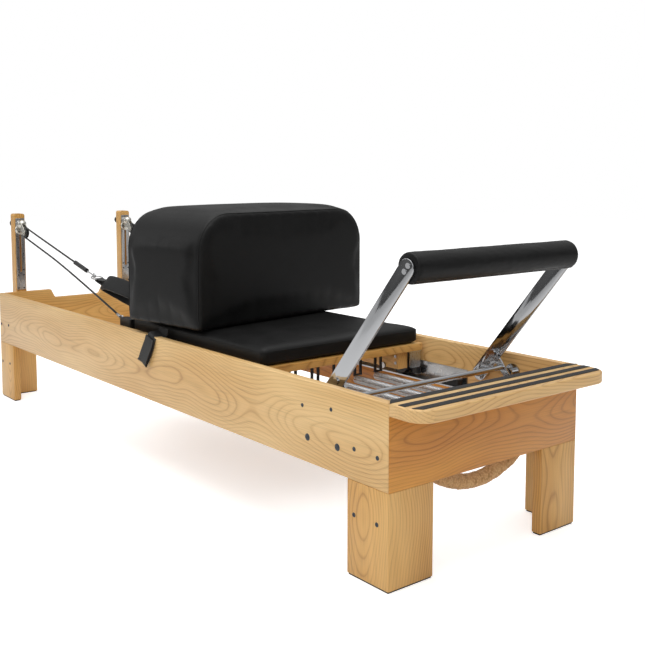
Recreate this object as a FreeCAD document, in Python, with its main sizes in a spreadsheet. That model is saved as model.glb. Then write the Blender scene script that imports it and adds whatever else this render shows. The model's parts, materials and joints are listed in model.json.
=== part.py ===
import FreeCAD
import Part
import math
import os
from FreeCAD import Vector

doc = FreeCAD.newDocument("reformer")

# Sizes in millimetres and degrees. Frame places are given from the foot end's outer face (x = 0),
# the middle of the frame (y = 0) and the floor (z = 0); originX and originY move them to the row frame.
SIZES = {
    "originX": 1173.0, "originY": -30.0,
    "frameLength": 2370.0, "frameWidth": 670.0, "frameTop": 430.0, "railHeight": 202.0, "boardThick": 23.0,
    "legWide": 140.0, "legThick": 28.0, "footPad": 4.0,
    "deckOver": 100.0, "platformThick": 30.0, "platformRound": 50.0, "stripWide": 21.0, "stripThick": 1.2,
    "scoopWide": 242.0, "scoopDeep": 35.0, "scoopSlope": 18.0, "scoopRound": 14.0,
    "ledgerWide": 42.0, "ledgerTop": 306.0, "ledgerHigh": 70.0, "trackThick": 4.0, "trackHigh": 50.0,
    "trackFoot": -360.0, "trackHead": "=-frameLength + 30",
    "postThick": 42.0, "postWide": 43.0, "postTop": 756.0, "postBottom": 232.0,
    "postSide": "=frameWidth / 2 - 94",
    "slotLow": 512.0, "slotHigh": 726.0, "slotWide": 9.0, "plateWide": 37.0, "plateThick": 3.0,
    "pulleyZ": 713.0, "sheaveX": "=-frameLength + 67", "sheaveZ": 680.0, "sheaveR": 21.0, "sheaveWide": 11.0,
    "deckFoot": -530.0, "deckHead": -1290.0, "deckGap": 14.0,
    "deckWide": "=frameWidth - 2 * (boardThick + deckGap)", "deckZ": 393.0, "deckThick": 20.0,
    "neckHead": -1400.0, "neckWide": "=deckWide - 126", "padThick": 49.0, "padInset": 3.0,
    "runnerSide": "=deckWide / 2 - 90", "runnerThick": 38.0, "runnerHigh": 52.0,
    "wheelR": 34.7, "wheelWide": 22.0, "wheelSide": "=frameWidth / 2 - boardThick - 38", "axleR": 5.0,
    "wheelGap": 0.3, "axleZ": "=ledgerTop + trackThick + wheelR + wheelGap",
    "wheelFootX": -607.0, "wheelHeadX": -1213.0,
    "guideR": 14.0, "guideFootX": -553.0, "guideHeadX": -1267.0, "guideGap": 0.4,
    "guideSide": "=frameWidth / 2 - boardThick - trackThick - guideR - guideGap", "guideZ": 318.0,
    "pivotX": -291.0, "pivotZ": 365.0, "armLean": 39.25, "armLength": 460.0, "armWide": 45.0,
    "armThick": 6.0, "armSide": "=frameWidth / 2 - boardThick - 30", "barR": 36.0, "coreR": 12.5, "propUp": 85.0,
    "propLength": 79.0, "propTurn": 138.0, "propWide": 20.0, "propThick": 5.0, "rodR": 7.5, "rodAt": 49.0,
    "boxX": -1067.0, "boxY": 30.0, "boxTurn": 8.2, "boxLong": 364.0, "boxWide": 730.0, "boxHigh": 352.0,
    "boxRound": 118.0,
    "springX": -590.0, "springZ": 322.0, "springLong": 477.0, "springR": 12.0,
    "springStep": "=(runnerSide - 48) / 2",
    "fleeceX": "=-boardThick - 25", "fleeceR": 21.0, "fleeceHalf": "=frameWidth / 2 - legWide - 19", "fleeceLow": 178.0, "fleeceEnd": 244.0,
    "ropeR": 3.5,
    "cleatSide": "=deckWide / 2 - 21",
}

sheet = doc.addObject("Spreadsheet::Sheet", "Sizes")
for row, (name, value) in enumerate(SIZES.items(), start=1):
    sheet.set("A%d" % row, name)
    sheet.set("B%d" % row, str(value))
    sheet.setAlias("B%d" % row, name)
doc.recompute()

NODES = []
S = {name: float(sheet.get(name)) for name in SIZES}
X, Y, Z = Vector(1, 0, 0), Vector(0, 1, 0), Vector(0, 0, 1)


def bind(obj, **sizes):
    for prop, rule in sizes.items():
        obj.setExpression(prop.replace("_", "."), str(rule).replace("@", "Sizes."))


OFFSETS = {}


def at(obj, x=0, y=0, z=0):
    OFFSETS[obj.Name] = (x, y, z)
    bind(obj, Placement_Base_x=x, Placement_Base_y=y, Placement_Base_z=z)
    return obj


def moved(obj, *by):
    was = OFFSETS.get(obj.Name, (0, 0, 0))
    return at(obj, *("(%s) + (%s)" % pair for pair in zip(was, by)))


def turn(obj, axis, angle):
    obj.Placement = FreeCAD.Placement(obj.Placement.Base, FreeCAD.Rotation(axis, angle))
    return obj


def block(x, y, z, px=0, py=0, pz=0):
    obj = doc.addObject("Part::Box", "block")
    bind(obj, Length=x, Width=y, Height=z)
    return at(obj, px, py, pz)


def rod(radius, length, axis=Z, px=0, py=0, pz=0):
    obj = doc.addObject("Part::Cylinder", "rod")
    bind(obj, Radius=radius, Height=length)
    if axis != Z:
        turn(obj, Y if axis == X else X, 90 if axis == X else -90)
    return at(obj, px, py, pz)


def ball(radius, px=0, py=0, pz=0):
    obj = doc.addObject("Part::Sphere", "ball")
    bind(obj, Radius=radius)
    return at(obj, px, py, pz)


def torus(ring, wire, axis=Z, px=0, py=0, pz=0):
    obj = doc.addObject("Part::Torus", "ring")
    bind(obj, Radius1=ring, Radius2=wire)
    if axis != Z:
        turn(obj, Y if axis == X else X, 90)
    return at(obj, px, py, pz)


def wedge(low, high, low2, high2, thick, height):
    obj = doc.addObject("Part::Wedge", "wedge")
    bind(obj, Xmin=low, Xmax=high, X2min=low2, X2max=high2, Ymin=0, Ymax=thick)
    bind(obj, Zmin=0, Z2min=0, Zmax=height, Z2max=height)
    return obj


def cut(base, *tools):
    for tool in tools:
        obj = doc.addObject("Part::Cut", "cut")
        obj.Base = base
        obj.Tool = tool
        base = obj
    return base


def fuse(*shapes):
    obj = doc.addObject("Part::MultiFuse", "fuse")
    obj.Shapes = list(shapes)
    obj.Refine = True
    return obj


def rounded(base, radius, wanted):
    doc.recompute()
    picks = [i + 1 for i, edge in enumerate(base.Shape.Edges) if wanted(edge)]
    obj = doc.addObject("Part::Fillet", "round")
    obj.Base = base
    obj.Edges = [(i, radius, radius) for i in picks]
    return obj


def along(axis):
    def test(edge):
        ends = [v.Point for v in edge.Vertexes]
        if len(ends) != 2 or edge.Curve.TypeId != "Part::GeomLine":
            return False
        return abs((ends[1] - ends[0]).normalize().dot(axis)) > 0.999
    return test


GROUPS = {}


def member(name, obj, x=0, y=0, z=0):
    GROUPS.setdefault(name, []).append(moved(obj, x, y, z))


def node(name, obj, x=0, y=0, z=0):
    obj.Label = name
    moved(obj, "@originX + (%s)" % x, "@originY + (%s)" % y, z)
    NODES.append(obj)
    return obj


def shape_object(shape):
    obj = doc.addObject("Part::Feature", "shape")
    obj.Shape = Part.Compound([shape])
    return obj


def shape_node(name, shape):
    return node(name, shape_object(shape))


def shape_member(name, shape):
    member(name, shape_object(shape))


# Frame boards

def make_rail(name, side):
    rail = wedge("-@frameLength", 0, "-@frameLength", "-@boardThick", "@boardThick", "@railHeight")
    if side < 0:
        return node(name, rail, 0, "-@frameWidth / 2", "@frameTop - @railHeight")
    return node(name, flipped(rail, Y), 0, "@frameWidth / 2", "@frameTop - @railHeight")


def cross_wedge(height, inset="0"):
    board = wedge("-@frameWidth / 2 + " + inset, "@frameWidth / 2 - " + inset,
                  "-@frameWidth / 2 + @boardThick + " + inset, "@frameWidth / 2 - @boardThick - " + inset,
                  "@boardThick", height)
    return turn(board, Z, 90)


def platform_slab(height, inset="0", edge=0):
    front = block("@deckOver - " + inset, "@frameWidth - 2 * (%s)" % inset, height,
                  0, "-@frameWidth / 2 + " + inset, 0)
    front = rounded(front, S["platformRound"], lambda e: along(Z)(e) and e.CenterOfMass.x > 10)
    if edge:
        front = rounded(front, edge, lambda e: e.BoundBox.ZLength < 0.1 and e.CenterOfMass.x > 60)
    return fuse(front, cross_wedge(height, inset))


def make_head_board():
    board = block("@boardThick", "@frameWidth - 2 * @boardThick", "@railHeight",
                  0, "-@frameWidth / 2 + @boardThick", 0)
    scoop = wedge("-@scoopWide / 2 + @scoopSlope", "@scoopWide / 2 - @scoopSlope",
                  "-@scoopWide / 2 - 0.5", "@scoopWide / 2 + 0.5", "@scoopDeep + 1", "@boardThick + 10")
    scoop.Placement = FreeCAD.Placement(Vector(0, 0, 0), FreeCAD.Rotation(Vector(1, 1, 1), 120))
    at(scoop, -5, 0, "@railHeight - @scoopDeep")
    board = cut(board, scoop)
    low = S["railHeight"] - S["scoopDeep"]
    board = rounded(board, S["scoopRound"],
                    lambda e: along(X)(e) and abs(e.CenterOfMass.z - low) < 0.5)
    node("head_board", board, "-@frameLength", 0, "@frameTop - @railHeight")


def make_platform():
    node("standing_platform", platform_slab("@platformThick", "0", 5.0), 0, 0, "@frameTop - @platformThick")
    strips = []
    for start, inset in ((-20.0, "1.5"), (22.0, "5.2"), (61.5, "5.2")):
        band = block("@stripWide", "@frameWidth", "@stripThick", start, "-@frameWidth / 2", 0)
        slab = platform_slab("@stripThick", inset)
        strip = doc.addObject("Part::MultiCommon", "strip")
        strip.Shapes = [band, slab]
        strips.append(strip)
    node("grip_strips", fuse(*strips), 0, 0, "@frameTop")


def flipped(obj, normal):
    flip = doc.addObject("Part::Mirroring", "flip")
    flip.Source = obj
    flip.Normal = normal
    return flip


def corner_copy(obj, sign, way):
    if sign < 0:
        obj = flipped(obj, X)
    return flipped(obj, Y) if way < 0 else obj


def make_legs():
    high = "@frameTop - @railHeight - @footPad"
    pads = []
    for end, corner, sign in (("foot", "0", -1), ("head", "-@frameLength", 1)):
        for side, edge, way in (("near", "-@frameWidth / 2", 1), ("far", "@frameWidth / 2", -1)):
            planks = fuse(block("@legWide", "@legThick", high), block("@legThick", "@legWide", high))
            node("%s_%s_leg" % (end, side), corner_copy(planks, sign, way), corner, edge, "@footPad")
            pad = fuse(block("@legWide - 6", "@legThick - 6", "@footPad", 3, 3, 0),
                       block("@legThick - 6", "@legWide - 6", "@footPad", 3, 3, 0))
            pads.append(at(corner_copy(pad, sign, way), corner, edge, 0))
    node("leg_pads", fuse(*pads))


# Pieces that come in a near and a far copy: way is -1 for the near side

def make_side_pieces(side, way):
    w = "(%d)" % way

    def yspan(low, high):
        return "%s * (%s)" % (w, low) if way > 0 else "-(%s)" % high

    half = "(@frameWidth / 2 - @boardThick)"
    ledger = block("@frameLength - 2 * @boardThick - 4", "@ledgerWide", "@ledgerHigh")
    member("ledgers", ledger, "-@frameLength + @boardThick + 2",
         yspan(half + " - @ledgerWide", half), "@ledgerTop - @ledgerHigh")
    flat = block("@trackFoot - @trackHead", "@ledgerWide", "@trackThick")
    upright = block("@trackFoot - @trackHead", "@trackThick", "@trackHigh - @trackThick",
                    0, "0" if way < 0 else "@ledgerWide - @trackThick", "@trackThick")
    for strip in (flat, upright):
        member("tracks", strip, "@trackHead", yspan(half + " - @ledgerWide", half), "@ledgerTop")
    for end, start in (("foot", "@trackFoot - 72"), ("head", "@trackHead + 6")):
        stop = block(66, 24, 20)
        stop = rounded(stop, 3.0, along(Z))
        member("track_stops", stop, start, yspan(half + " - 37", half + " - 13"), "@ledgerTop + @trackThick")
    make_riser(side, way)
    make_footbar_side(side, way)
    make_carriage_side(side, way)
    make_rope(side, way)
    screws = []
    spots = [(-309, 366, 5), (-199, 377, 5), (-289, 291, 9), (-176, 292, 9), (-116, 302, 5.5), (-37, 300, 5.5),
             (-116, 148, 5.5), (-38, 148, 5.5)]
    spots += [("-@frameLength + %d" % x, z, 5.5) for x, z in ((17, 304), (96, 307), (19, 148), (99, 149))]
    for x, z, r in spots:
        screws.append(rod(r, 1.6, Y, x, 0 if way > 0 else -1.6, z))
        if r > 8:
            screws.append(rod(5.0, 4.0, Y, x, 0 if way > 0 else -4.0, z))
    member("frame_screws", fuse(*screws), 0, "%s * @frameWidth / 2" % w, 0)


def make_riser(side, way):
    y = "(%d) * @postSide" % way
    post = block("@postThick", "@postWide", "@postTop - @postBottom", 0, "-@postWide / 2", 0)
    slot = block("@postThick + 2", "@slotWide", "@slotHigh - @slotLow", -1, "-@slotWide / 2", "@slotLow - @postBottom")
    post = cut(post, slot)
    top = S["postTop"] - S["postBottom"]
    post = rounded(post, 9.0, lambda e: along(X)(e) and e.CenterOfMass.z > top - 1)
    node(side + "_riser_post", post, "-@frameLength - @postThick", y, "@postBottom")
    plate = block("@plateThick", "@plateWide", 300, 0, "-@plateWide / 2", 0)
    slot = block("@plateThick + 2", "@slotWide", "@slotHigh - @slotLow", -1, "-@slotWide / 2", "@slotLow - 437")
    member("riser_plates", cut(plate, slot), "-@frameLength", y, 437)
    heads = [rod(3.5, 1.4, X, 0, dy, z) for z in (8, 62, 84) for dy in (-11.5, 11.5)]
    member("frame_screws", fuse(*heads), "-@frameLength + @plateThick", y, 437)
    stem = rod(4.0, 76, X, -73, 0, 0)
    collar = rod(14.0, 5, X, 3, 0, 0)
    member("riser_plates", fuse(stem, collar), "-@frameLength", y, "@pulleyZ")
    knob = fuse(rod(15.0, 10, X, -16, 0, 0), rod(9.0, 16, X, -16, 0, 0))
    knob = cut(knob, rod(4.06, 40, X, -30, 0, 0))
    knob = fuse(knob, rod(13.0, 3, X, -34, 0, 0), cut(rod(15.0, 15, X, -31, 0, 0), rod(4.06, 20, X, -31.0, 0, 0)))
    member("riser_knobs", knob, "-@frameLength - @postThick", y, "@pulleyZ")
    make_pulley(side, way, y)


def make_pulley(side, way, y):
    dx = S["sheaveX"] + S["frameLength"] - 26.0
    dz = S["sheaveZ"] - S["pulleyZ"]
    reach = math.hypot(dx, dz)
    tilt = math.degrees(math.atan2(-dz, dx))
    parts = [ball(17.8)]
    for low in (-10.0, 6.6):
        cheek = block(reach + 12, 3.4, 24, 0, low, -12)
        cheek = rounded(cheek, 11.0, lambda e: along(Y)(e) and e.CenterOfMass.x > 20)
        parts.append(cheek)
    fork = fuse(*parts)
    fork = cut(fork, rod("@sheaveR + 2", "@sheaveWide + 2.2", Y, reach, "-@sheaveWide / 2 - 1.1", 0))
    fork = fuse(fork, rod(3.0, 25, Y, reach, -12.5, 0))
    turn(fork, Y, tilt)
    node(side + "_pulley_fork", fork, "-@frameLength + 26.0", y, "@pulleyZ")
    wheel = rod("@sheaveR", "@sheaveWide", Y, 0, "-@sheaveWide / 2", 0)
    groove = torus("@sheaveR + 0.6", "3.9", Y)
    node(side + "_sheave", cut(wheel, groove, rod(3.06, 40, Y, 0, -20, 0)), "@sheaveX", y, "@sheaveZ")


# Footbar: arms along their own Z, leaned about the pivot

def make_footbar_side(side, way):
    inner = "(%d) * @armSide" % way
    low = "0" if way > 0 else "-@armThick"
    arm = block("@armWide", "@armThick", "@armLength", "-@armWide / 2", low, 0)
    ends = [rod("@armWide / 2", "@armThick", Y, 0, low, z) for z in ("0", "@armLength")]
    arm = fuse(arm, *ends)
    arm = cut(arm, rod(6.06, 40, Y, 0, -20, 0), rod(5.06, 40, Y, 0, -20, "@propUp"))
    arm.Placement = FreeCAD.Placement(Vector(0, 0, 0), FreeCAD.Rotation(Y, S["armLean"]))
    bind(arm, Placement_Rotation_Angle="@armLean")
    node(side + "_arm", arm, "@pivotX", inner, "@pivotZ")
    heads = [rod(6.5, 1.5, Y, 0, 0 if way > 0 else -1.5, z) for z in (-9, 9)]
    heads = turn(fuse(*heads), Y, S["armLean"])
    member("footbar_tube", heads, "@pivotX + @armLength * sin(@armLean)",
         "(%d) * (@armSide + @armThick)" % way, "@pivotZ + @armLength * cos(@armLean)")
    wall = "(@frameWidth / 2 - @boardThick)"

    def peg(radius, start, stop):
        return rod(radius, "%s - (%s)" % (stop, start), Y, 0, start if way > 0 else "-(%s)" % stop, 0)

    hinge = fuse(peg(15, "@armSide + @armThick + 0.4", wall), peg(6, "@armSide - 0.4", wall),
                 peg(11, "@armSide - 5.4", "@armSide - 0.4"))
    member("footbar_pivots", hinge, "@pivotX", 0, "@pivotZ")
    boss = fuse(peg(13, "@armSide + @armThick + 0.8", wall + " - 5"), peg(24, wall + " - 5", wall))
    member("prop_rests", boss, "@pivotX + 98", 0, "@pivotZ + 14")
    pin = fuse(peg(5, "@armSide - 9", "@armSide + @armThick + 3.5"),
               peg(9, "@armSide + @armThick + 0.4", "@armSide + @armThick + 3.5"),
               peg(11, "@armSide - 12.5", "@armSide - 6.6"))
    hx, hz = "@pivotX + @propUp * sin(@armLean)", "@pivotZ + @propUp * cos(@armLean)"
    member("prop_frame", pin, hx, 0, hz)
    link = block("@propWide", "@propThick", "@propLength", "-@propWide / 2", "-@propThick / 2", 0)
    link = fuse(link, rod("@propWide / 2", "@propThick", Y, 0, "-@propThick / 2", 0),
                rod("@propWide / 2", "@propThick", Y, 0, "-@propThick / 2", "@propLength"))
    link = cut(link, rod(5.06, 20, Y, 0, -10, 0))
    link.Placement = FreeCAD.Placement(Vector(0, 0, 0), FreeCAD.Rotation(Y, S["propTurn"]))
    bind(link, Placement_Rotation_Angle="@propTurn")
    member("prop_frame", link, hx, "(%d) * (@armSide - 1 - @propThick / 2)" % way, hz)


def make_footbar():
    cx, cz = "@pivotX + @armLength * sin(@armLean)", "@pivotZ + @armLength * cos(@armLean)"
    span = "2 * @armSide"
    core = cut(rod("@coreR", span, Y, 0, "-@armSide", 0), rod("@coreR - 2", span, Y, 0, "-@armSide", 0))
    member("footbar_tube", core, cx, 0, cz)
    pad = cut(rod("@barR", span + " - 1", Y, 0, "-@armSide + 0.5", 0),
              rod("@coreR + 0.05", span, Y, 0, "-@armSide", 0))
    pad = rounded(pad, 4.0, lambda e: abs(e.Length - 2 * math.pi * S["barR"]) < 1)
    node("footbar_pad", pad, cx, 0, cz)
    reach = "2 * (@armSide - 1 - @propThick)"
    cross = rod("@rodR", reach, Y, 0, "-@armSide + 1 + @propThick", 0)
    member("prop_frame", cross, "@pivotX + @propUp * sin(@armLean) + @rodAt * sin(@propTurn)", 0,
         "@pivotZ + @propUp * cos(@armLean) + @rodAt * cos(@propTurn)")


# Carriage

def deck_outline(thick, inset, neck, radius):
    main = block("@deckFoot - @deckHead - 2 * %s" % inset, "@deckWide - 2 * %s" % inset, thick,
                 "@deckHead + %s" % inset, "-@deckWide / 2 + %s" % inset, 0)
    head = block("@deckHead - (%s) + 40" % neck, "@neckWide - 2 * %s" % inset, thick,
                 neck, "-@neckWide / 2 + %s" % inset, 0)
    return rounded(fuse(main, head), radius, lambda e: along(Z)(e) and abs(e.CenterOfMass.x) > 0)


def make_carriage():
    node("carriage_deck", deck_outline("@deckThick", "0", "@neckHead", 9.0), 0, 0, "@deckZ")
    pad = deck_outline("@padThick", "@padInset", "@neckHead + 30", 14.0)
    top = S["padThick"]
    pad = rounded(pad, 9.0, lambda e: e.BoundBox.ZMin > top - 0.1)
    node("carriage_pad", pad, 0, 0, "@deckZ + @deckThick + 0.3")
    board = block(218, 260, 16, -218, -130, 0)
    node("headrest_board", rounded(board, 20.0, lambda e: along(Z)(e) and e.CenterOfMass.x < -100),
         "@neckHead - 9", 0, "@deckZ + 1")
    cushion = rounded(block(212, 252, 40, -214, -126, 0), 20.0, along(Z))
    cushion = rounded(cushion, 9.0, lambda e: e.BoundBox.ZMin > 39.9)
    node("headrest_pad", cushion, "@neckHead - 9", 0, "@deckZ + 17.3")
    knuckle = fuse(block(40, 50, 3, -40, -25, 3), rod(5.0, 50, Y, 0, -25, 0))
    node("headrest_hinge", cut(knuckle, rod(3.06, 60, Y, 0, -30, 0)), "@neckHead - 4", 0, "@deckZ - 5")
    lugs = [block(27, 8, 8, -3, y, -3) for y in (-33.3, 25.3)]
    member("guide_brackets", fuse(rod(3.0, 80, Y, 0, -40, 0), *lugs), "@neckHead - 4", 0, "@deckZ - 5")
    bar = block(26, "2 * @runnerSide - 16", 5, -13, "-@runnerSide + 8", 0)
    member("guide_brackets", bar, "@springX - 2", 0, "@deckZ - 5")
    for number in range(5):
        y = "(%d) * @springStep" % (number - 2)
        coil = cut(rod("@springR", "@springLong", X), rod("@springR - 3.4", "@springLong + 2", X, -1, 0, 0))
        member("springs", coil, "@springX", y, "@springZ")
        legs = [block(3, 9, "@deckZ - 8.2 - @springZ - @springR", -1.5, low, 0) for low in (-15.5, 6.5)]
        hook = fuse(rod(3.0, 31, Y, 0, -15.5, 0), *legs)
        member("spring_hangers", hook, "@springX + 8", y, "@springZ + @springR + 3.2")
    bar = cut(block(60, "@frameWidth - 2 * @boardThick - 2 * @ledgerWide", 34),
              block(60, "@frameWidth", 30, -4, -1, -1))
    member("spring_bar", bar, "@springX + @springLong - 20", "-@frameWidth / 2 + @boardThick + @ledgerWide",
           "@springZ - @springR - 34.3")
    hooks = []
    for number in range(5):
        y = "(%d) * @springStep" % (number - 2)
        hooks.append(rod(3.2, "2 * @springR + 8.4", Z, 3.5, y, "-@springR - 0.4"))
        hooks.append(rod(5.2, 4, Z, 3.5, y, "@springR + 7"))
    member("spring_bar", fuse(*hooks), "@springX + @springLong", 0, "@springZ")


def make_carriage_side(side, way):
    def ypos(low, high):
        return low if way > 0 else "-(%s)" % high

    beam = block("@deckFoot - @deckHead - 30", "@runnerThick", "@runnerHigh")
    holes = [rod("@axleR + 0.06", 100, Y, "%s - (@deckHead + 15)" % x, -20, "@axleZ - @deckZ + @runnerHigh")
             for x in ("@wheelFootX", "@wheelHeadX")]
    member("runners", cut(beam, *holes), "@deckHead + 15",
         ypos("@runnerSide", "(@runnerSide + @runnerThick)"), "@deckZ - @runnerHigh")
    for end in ("Foot", "Head"):
        x = "@wheel%sX" % end
        tag = "%s_%s" % (side, end.lower())
        wheel = cut(rod("@wheelR", "@wheelWide", Y), rod("@axleR + 0.06", 60, Y, 0, -10, 0))
        wheel = rounded(wheel, 2.0, lambda e: abs(e.Length - 2 * math.pi * S["wheelR"]) < 1)
        node(tag + "_wheel", wheel, x, ypos("@wheelSide", "(@wheelSide + @wheelWide)"), "@axleZ")
        start, stop = "@runnerSide - 6", "@wheelSide + @wheelWide + 5"
        axle = [rod("@axleR", "(%s) - (%s)" % (stop, start), Y, 0, ypos(start, stop), 0)]
        for a, b, r in ((start, "@runnerSide", 9), ("@runnerSide + @runnerThick", "@wheelSide - 0.4", 8.5),
                        ("@wheelSide + @wheelWide + 0.4", stop, 8.5)):
            axle.append(rod(r, "(%s) - (%s)" % (b, a), Y, 0, ypos(a, b), 0))
        member("wheel_axles", fuse(*axle), x, 0, "@axleZ")
        outward = 1 if end == "Foot" else -1
        inner = "@deckWide / 2 - 51"
        top = block(34, 50, 4, -17, ypos(inner, "@deckWide / 2 - 1"), "@deckZ - 4")
        front = block(3, 44, 52, 17 * outward - 1.5, ypos(inner, "@deckWide / 2 - 7"), "@deckZ - 52")
        front = rounded(front, 8.0, lambda e: along(X)(e) and e.CenterOfMass.z < S["deckZ"] - 30)
        stem = rod(3.0, "@deckZ - @guideZ + 1", Z, 0, "(%d) * @guideSide" % way, "@guideZ - 1")
        foot = rod(5.0, 3, Z, 0, "(%d) * @guideSide" % way, "@guideZ - 3.5")
        member("guide_brackets", fuse(top, front, stem, foot), "@guide%sX" % end, 0, 0)
        roller = cut(rod("@guideR", 20), rod(3.06, 30, Z, 0, 0, -2))
        roller = rounded(roller, 1.5, lambda e: abs(e.Length - 2 * math.pi * S["guideR"]) < 1)
        member("guide_rollers", roller, "@guide%sX" % end, "(%d) * @guideSide" % way, "@guideZ")
    heads = [rod(4.5, 3, Y, x, 0 if way < 0 else -3, z) for x in (-555, -1262) for z in (359, 379)]
    member("wheel_axles", fuse(*heads), 0, "(%d) * @runnerSide" % way, 0)
    cleat = rounded(block(74, 30, 40, -74, -15, 0), 4.0, along(Z))
    member("rope_cleats", cleat, "@deckHead - 0.3", "(%d) * @cleatSide" % way, "@deckZ + 15")
    member("loop_hardware", torus(8.0, 2.5, Y), "@deckHead - 85", "(%d) * @cleatSide" % way, "@deckZ + 49")
    rest = rounded(block(58, 140, 134, -29, -70, 0), 14.0, lambda e: True)
    member("shoulder_pads", rest, -1342, "(%d) * 130" % way, "@deckZ + @deckThick + @padThick + 1")
    plate = block(6, 40, 150, -6, -20, 0)
    member("shoulder_posts", plate, -1371.5, "(%d) * 130" % way, "@deckZ + @deckThick")
    peg = fuse(rod(6.0, 52, Y, 0, 0 if way > 0 else -52, 0), rod(9.0, 4, Y, 0, 48 if way > 0 else -52, 0))
    member("shoulder_posts", peg, -1342, "(%d) * 200.5" % way, 515)


# Ropes and hand loops

def tube(edges, radius):
    wire = Part.Wire(edges)
    start = wire.Vertexes[0].Point
    way = edges[0].tangentAt(edges[0].FirstParameter)
    circle = Part.Wire(Part.makeCircle(radius, start, way))
    return wire.makePipeShell([circle], True, False, 0)


def line(a, b):
    return Part.LineSegment(a, b).toShape()


def bent(a, corner, b, reach=30.0):
    into = (a - corner).normalize()
    out = (b - corner).normalize()
    start, stop = corner + into * reach, corner + out * reach
    turn_half = into.getAngle(out) / 2
    radius = reach * math.tan(turn_half)
    middle = corner + (into + out).normalize() * (radius / math.sin(turn_half) - radius)
    return [line(a, start), Part.Arc(start, middle, stop).toShape(), line(stop, b)]


def make_rope(side, way):
    centre = Vector(S["sheaveX"], way * S["postSide"], S["sheaveZ"])
    r = S["sheaveR"] + 0.6 - 0.2

    def spot(x, yy, z):
        return Vector(x, way * yy, z)

    eye = spot(S["deckHead"] - 97, S["cleatSide"], S["deckZ"] + 52)
    end = spot(-1836, 234, 591)

    def leave(target, sign):
        rel = target - centre
        dist = math.hypot(rel.x, rel.z)
        base = math.atan2(rel.z, rel.x)
        angle = base + sign * math.acos(r / dist)
        return Vector(centre.x + r * math.cos(angle), centre.y, centre.z + r * math.sin(angle))

    low, high = leave(eye, -1), leave(end, 1)
    back = Vector(centre.x - r, centre.y, centre.z)
    down = Vector(eye.x - low.x, 0, eye.z - low.z).normalize()
    up = Vector(end.x - high.x, 0, end.z - high.z).normalize()
    first = bent(eye, low + down * 90, low)
    last = bent(high, high + up * 90, end)
    path = first + [Part.Arc(low, back, high).toShape()] + last
    rope = tube(path, S["ropeR"])
    shape_node(side + "_rope", rope)
    axis = (end - high).normalize()
    a = end - axis * 2
    sleeve = Part.makeCylinder(8.0, 100, a, axis)
    bore = Part.makeCylinder(S["ropeR"] + 0.3, 60, a - axis * 5, axis)
    tip = a + axis * 100
    shape_member("rope_sleeves", sleeve.cut(bore))
    hook = Part.makeCylinder(2.6, 52, tip + axis * 0.3, axis)
    hook = hook.fuse(Part.makeTorus(8.0, 2.2, tip + axis * 60, Y))
    shape_member("loop_hardware", hook)
    ring_at = tip + axis * 83.1
    tilt = -math.degrees(math.atan2(axis.z, axis.x))

    def ring(wire):
        hoop = Part.makeTorus(20.0, wire)
        hoop.rotate(Vector(0, 0, 0), Y, tilt)
        hoop.translate(ring_at)
        return hoop

    shape_member("loop_hardware", ring(2.4))
    make_loop(side, ring_at, tilt, ring(2.7))


def make_loop(side, ring_at, tilt, ring_clear):
    start = ring_at + Vector(72, 0, -14)
    far_x = -1326.0
    y = start.y
    top = [Vector(start.x, y, start.z + 4), Vector(start.x + 70, y, start.z + 22), Vector(far_x - 60, y, 546),
           Vector(far_x, y, 530)]
    low = [Vector(far_x, y, 500), Vector(far_x - 50, y, 478), Vector(far_x - 130, y, 462),
           Vector(start.x + 60, y, start.z - 40), Vector(start.x, y, start.z - 4)]
    curve = Part.BSplineCurve()
    curve.interpolate(top + low, PeriodicFlag=True)
    path = Part.Wire(curve.toShape())
    begin = curve.value(curve.FirstParameter)
    tangent = curve.tangent(curve.FirstParameter)[0]
    out = tangent.cross(Y)
    corners = [begin + Y * a + out * b for a, b in ((-28, -5), (28, -5), (28, 5), (-28, 5))]
    profile = Part.makePolygon(corners + corners[:1])
    loop = path.makePipeShell([profile], True, False, 2)
    shape_node(side + "_hand_loop", loop)
    reach = (loop.BoundBox.XMin - ring_at.x - 1.6) / math.cos(math.radians(tilt))
    webbing = Part.makeBox(reach - 11, 30, 8, Vector(11, -15, -4))
    webbing.rotate(Vector(0, 0, 0), Y, tilt)
    webbing.translate(ring_at)
    shape_member("loop_webbings", webbing.cut(ring_clear))


# Loose box on the carriage, its strap, and the sheepskin strap below the foot board

def make_box():
    body = block("@boxLong", "@boxWide", "@boxHigh", "-@boxLong / 2", "-@boxWide / 2", 0)
    high = S["boxHigh"]
    body = rounded(body, S["boxRound"], lambda e: along(X)(e) and e.CenterOfMass.z > high - 1)
    body = rounded(body, 12.0, lambda e: abs(e.CenterOfMass.x) > S["boxLong"] / 2 - 1 and e.BoundBox.XLength < 0.1
                   and e.CenterOfMass.z > 5)
    body.Placement = FreeCAD.Placement(Vector(0, 0, 0), FreeCAD.Rotation(Z, S["boxTurn"]))
    bind(body, Placement_Rotation_Angle="@boxTurn")
    node("sitting_box", body, "@boxX", "@boxY", "@deckZ + @deckThick + @padThick + 0.6")
    inner = "(@frameWidth - @deckWide) / 2"
    flat = block(40, inner + " + 8", 4, -20, -5.5, 0.5)
    drop = block(40, 5, 88, -20, -5.5, -83.5)
    rise = block(40, 3, 30, -20, inner + " - 3", 0.5)
    node("box_strap", fuse(flat, drop, rise), -1070, "-@frameWidth / 2", "@frameTop")


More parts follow.
